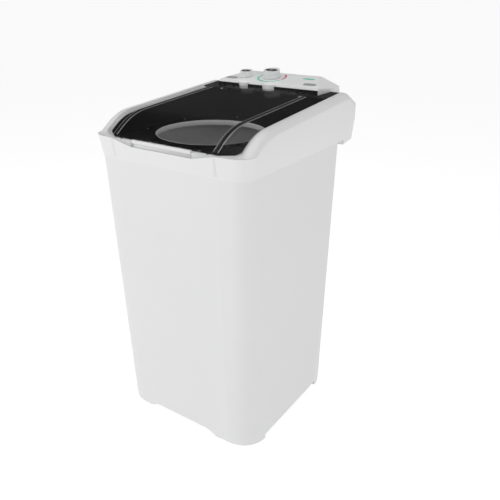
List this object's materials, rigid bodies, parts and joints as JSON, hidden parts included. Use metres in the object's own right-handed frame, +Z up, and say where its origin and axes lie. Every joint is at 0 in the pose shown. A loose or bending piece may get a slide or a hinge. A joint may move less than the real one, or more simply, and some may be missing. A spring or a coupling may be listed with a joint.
{
  "type": "top load washing machine",
  "caption": "Tall top-loading washer: one-piece white cabinet, convex smoked hinged lid over a round tub mouth, rear console with rotary timer and selector, belt-driven agitator.",
  "frame": {"origin": "middle of the footprint, on the floor", "axes": "+X to the right seen from the front, +Y to the back, +Z up"},
  "size_m": [0.544, 0.662, 1.0939],
  "materials": {
    "cabinet_shell": "satin moulded white",
    "frame_shell": "satin moulded white",
    "console_shell": "satin moulded white",
    "smoked_lid": "polished smoked",
    "handle_white": "satin",
    "black_trim": "gloss",
    "deck_black": "gloss",
    "tub_grey": "satin",
    "knob_white": "satin",
    "pointer_black": "matte",
    "dial_print": "printed",
    "badge_grey": "satin",
    "rubber_dark": "matte",
    "steel": "plain",
    "motor_paint": "gloss enamel",
    "alu": "cast",
    "agitator_plastic": "satin",
    "switch_plastic": "moulded",
    "pipe_grey": "moulded",
    "screw_zinc": "zinc"
  },
  "bodies": {
    "machine": {"cabinet": "cabinet_shell", "rear_cover": "cabinet_shell", "top_frame": "frame_shell", "control_panel": "console_shell", "hinge_panel": "black_trim", "tub_deck": "deck_black", "tub": "tub_grey", "timer_dial": "dial_print", "badge_plates": "badge_grey", "foot_pads": "rubber_dark", "levelling_foot": "rubber_dark", "lid_bumpers": "rubber_dark", "tub_gasket": "rubber_dark", "shaft_seal": "rubber_dark", "motor_mounts": "rubber_dark", "drive_belt": "rubber_dark", "cord_gland": "rubber_dark", "hinge_pins": "steel", "lower_bearing": "steel", "upper_bearing": "steel", "motor_stator": "steel", "motor_bracket": "steel", "cover_screws": "screw_zinc", "tub_screws": "screw_zinc", "motor_housing": "motor_paint", "motor_end_caps": "alu", "bearing_housing": "alu", "capacitor": "pipe_grey", "timer_switch": "switch_plastic", "selector_switch": "switch_plastic", "drain_pipe": "pipe_grey", "drain_clip": "pipe_grey"},
    "lid": {"lid": "smoked_lid", "lid_handle": "handle_white"},
    "timer_control": {"timer_knob": "knob_white", "timer_pointer": "pointer_black", "timer_spindle": "steel"},
    "selector_control": {"selector_knob": "knob_white", "selector_pointer": "pointer_black", "selector_spindle": "steel"},
    "agitator_drive": {"agitator": "agitator_plastic", "agitator_cap": "agitator_plastic", "drive_shaft": "steel", "drive_pulley": "alu", "pulley_nut": "steel"},
    "motor_drive": {"motor_rotor": "steel", "motor_pulley": "alu"}
  },
  "joints": [
    {"name": "lid_hinge", "type": "hinge", "parent": "machine", "child": "lid", "pos_m": [0, 0.152, 1.027], "axis": [-1, 0, 0], "range_deg": [0, 95]},
    {"name": "timer_turn", "type": "hinge", "parent": "machine", "child": "timer_control", "pos_m": [-0.012, 0.246, 1.06237], "axis": [0, -0.165, 0.9863], "range_deg": [-330, 0]},
    {"name": "selector_turn", "type": "hinge", "parent": "machine", "child": "selector_control", "pos_m": [-0.108, 0.236, 1.06069], "axis": [0, -0.165, 0.9863], "range_deg": [-180, 0]},
    {"name": "agitator_spin", "type": "hinge", "parent": "machine", "child": "agitator_drive", "pos_m": [0, -0.062, 0.3], "axis": [0, 0, 1], "continuous": true},
    {"name": "motor_spin", "type": "hinge", "parent": "machine", "child": "motor_drive", "pos_m": [0, 0.128, 0.25], "axis": [0, 0, 1], "continuous": true}
  ],
  "couplings": [
    {"joint": "motor_spin", "follows": "agitator_spin", "ratio": 7.1728}
  ]
}
